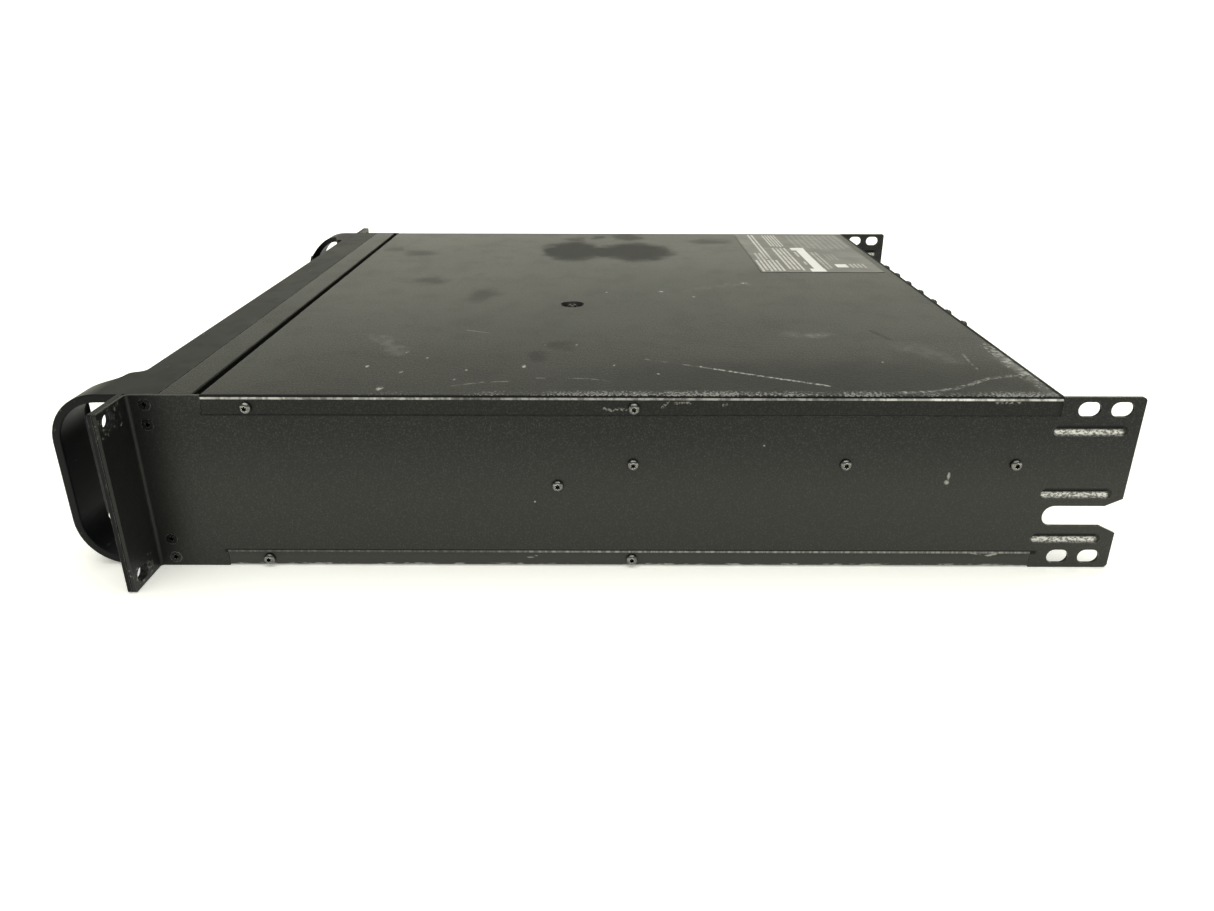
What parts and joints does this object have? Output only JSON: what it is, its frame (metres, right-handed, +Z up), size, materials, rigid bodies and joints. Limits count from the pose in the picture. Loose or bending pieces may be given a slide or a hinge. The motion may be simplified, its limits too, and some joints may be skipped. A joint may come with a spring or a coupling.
{
  "type": "rack power amplifier",
  "caption": "Two-unit rack power amplifier: black sheet-steel case, moulded front with side handles, rear support ears, rear fans and sockets.",
  "frame": {"origin": "centre of the four front rack slots, on the plane where the front ears touch the rack rails", "axes": "+X to the right seen from the front, +Y to the rear, +Z up"},
  "size_m": [0.4826, 0.5018, 0.0883],
  "materials": {
    "case_black": "fine-textured powder coat, black",
    "fascia_black": "satin moulded black, slightly brown",
    "grille_black": "black paint",
    "filter_foam": "open-cell foam",
    "panel_dark": "fine sparked plastic",
    "lamp_lens": "diffusing lens",
    "board_green": "solder mask",
    "control_metal": "plated steel",
    "knob_black": "moulded plastic",
    "switch_plastic": "moulded plastic",
    "fan_plastic": "glass-filled plastic",
    "guard_wire": "nickel-plated wire",
    "connector_plastic": "glass-filled plastic",
    "connector_nickel": "nickel-plated zinc",
    "pin_brass": "plated brass",
    "zinc_steel": "zinc-plated steel",
    "screw_black": "blackened steel, worn bright on the edges",
    "sink_aluminium": "extruded",
    "component_black": "moulded and sleeved",
    "winding": "lacquered copper under film, dense",
    "label_film": "printed polyester film"
  },
  "bodies": {
    "chassis": {"amplifier_board": "board_green", "board_standoffs": "zinc_steel", "bottom_pan": "case_black", "breaker_body": "switch_plastic", "breaker_nut": "connector_nickel", "control_board": "board_green", "control_panel": "panel_dark", "cover_post": "zinc_steel", "cover_screw": "screw_black", "fan_frame_1": "fan_plastic", "fan_frame_2": "fan_plastic", "fan_guard_1": "guard_wire", "fan_guard_2": "guard_wire", "fascia": "fascia_black", "fascia_screws": "screw_black", "filter_capacitors": "component_black", "filter_foams": "filter_foam", "front_bulkhead": "case_black", "heat_sink_left": "sink_aluminium", "heat_sink_right": "sink_aluminium", "inlet_pins": "pin_brass", "input_board": "board_green", "input_socket_1": "connector_nickel", "input_socket_2": "connector_nickel", "intake_grille_left": "grille_black", "intake_grille_right": "grille_black", "lamp_lenses": "lamp_lens", "level_pot_1": "control_metal", "level_pot_2": "control_metal", "mains_inlet": "connector_plastic", "mode_switch": "switch_plastic", "output_inductors": "winding", "output_relays": "component_black", "power_switch_frame": "switch_plastic", "power_transformer": "winding", "power_transistors": "component_black", "rating_label": "label_film", "rear_edge_screws": "screw_black", "rear_panel": "case_black", "rear_panel_screws": "screw_black", "side_panel_left": "case_black", "side_panel_right": "case_black", "side_screws": "screw_black", "speaker_socket_1": "connector_plastic", "speaker_socket_2": "connector_plastic", "supply_board": "board_green", "top_cover": "case_black", "transformer_clamp": "zinc_steel"},
    "level_knob_1": {"level_knob_1": "knob_black", "level_shaft_1": "control_metal"},
    "level_knob_2": {"level_knob_2": "knob_black", "level_shaft_2": "control_metal"},
    "power_rocker": {"power_rocker": "switch_plastic"},
    "fan_rotor_1": {"fan_rotor_1": "fan_plastic"},
    "fan_rotor_2": {"fan_rotor_2": "fan_plastic"},
    "input_latch_1": {"input_latch_1": "connector_nickel"},
    "input_latch_2": {"input_latch_2": "connector_nickel"},
    "breaker_button": {"breaker_button": "switch_plastic"},
    "mode_lever": {"mode_lever": "knob_black"}
  },
  "joints": [
    {"name": "level_knob_1_turn", "type": "hinge", "parent": "chassis", "child": "level_knob_1", "pos_m": [-0.036, -0.016, 0.008], "axis": [0, 1, 0], "range_deg": [-150, 150]},
    {"name": "level_knob_2_turn", "type": "hinge", "parent": "chassis", "child": "level_knob_2", "pos_m": [0.036, -0.016, 0.008], "axis": [0, 1, 0], "range_deg": [-150, 150]},
    {"name": "power_rocker_tilt", "type": "hinge", "parent": "chassis", "child": "power_rocker", "pos_m": [0, -0.0065, -0.018], "axis": [-1, 0, 0], "range_deg": [0, 20]},
    {"name": "fan_rotor_1_spin", "type": "hinge", "parent": "chassis", "child": "fan_rotor_1", "pos_m": [-0.042, 0.416, -0.002], "axis": [0, 1, 0], "continuous": true},
    {"name": "fan_rotor_2_spin", "type": "hinge", "parent": "chassis", "child": "fan_rotor_2", "pos_m": [0.034, 0.416, -0.002], "axis": [0, 1, 0], "continuous": true},
    {"name": "input_latch_1_press", "type": "slide", "parent": "chassis", "child": "input_latch_1", "axis": [0, -1, 0], "range_m": [0, 0.0015], "stiffness_N_per_m": 300, "springref_m": -0.0005},
    {"name": "input_latch_2_press", "type": "slide", "parent": "chassis", "child": "input_latch_2", "axis": [0, -1, 0], "range_m": [0, 0.0015], "stiffness_N_per_m": 300, "springref_m": -0.0005},
    {"name": "breaker_button_pop", "type": "slide", "parent": "chassis", "child": "breaker_button", "axis": [0, 1, 0], "range_m": [0, 0.004]},
    {"name": "mode_lever_slide", "type": "slide", "parent": "chassis", "child": "mode_lever", "axis": [1, 0, 0], "range_m": [0, 0.006]}
  ]
}
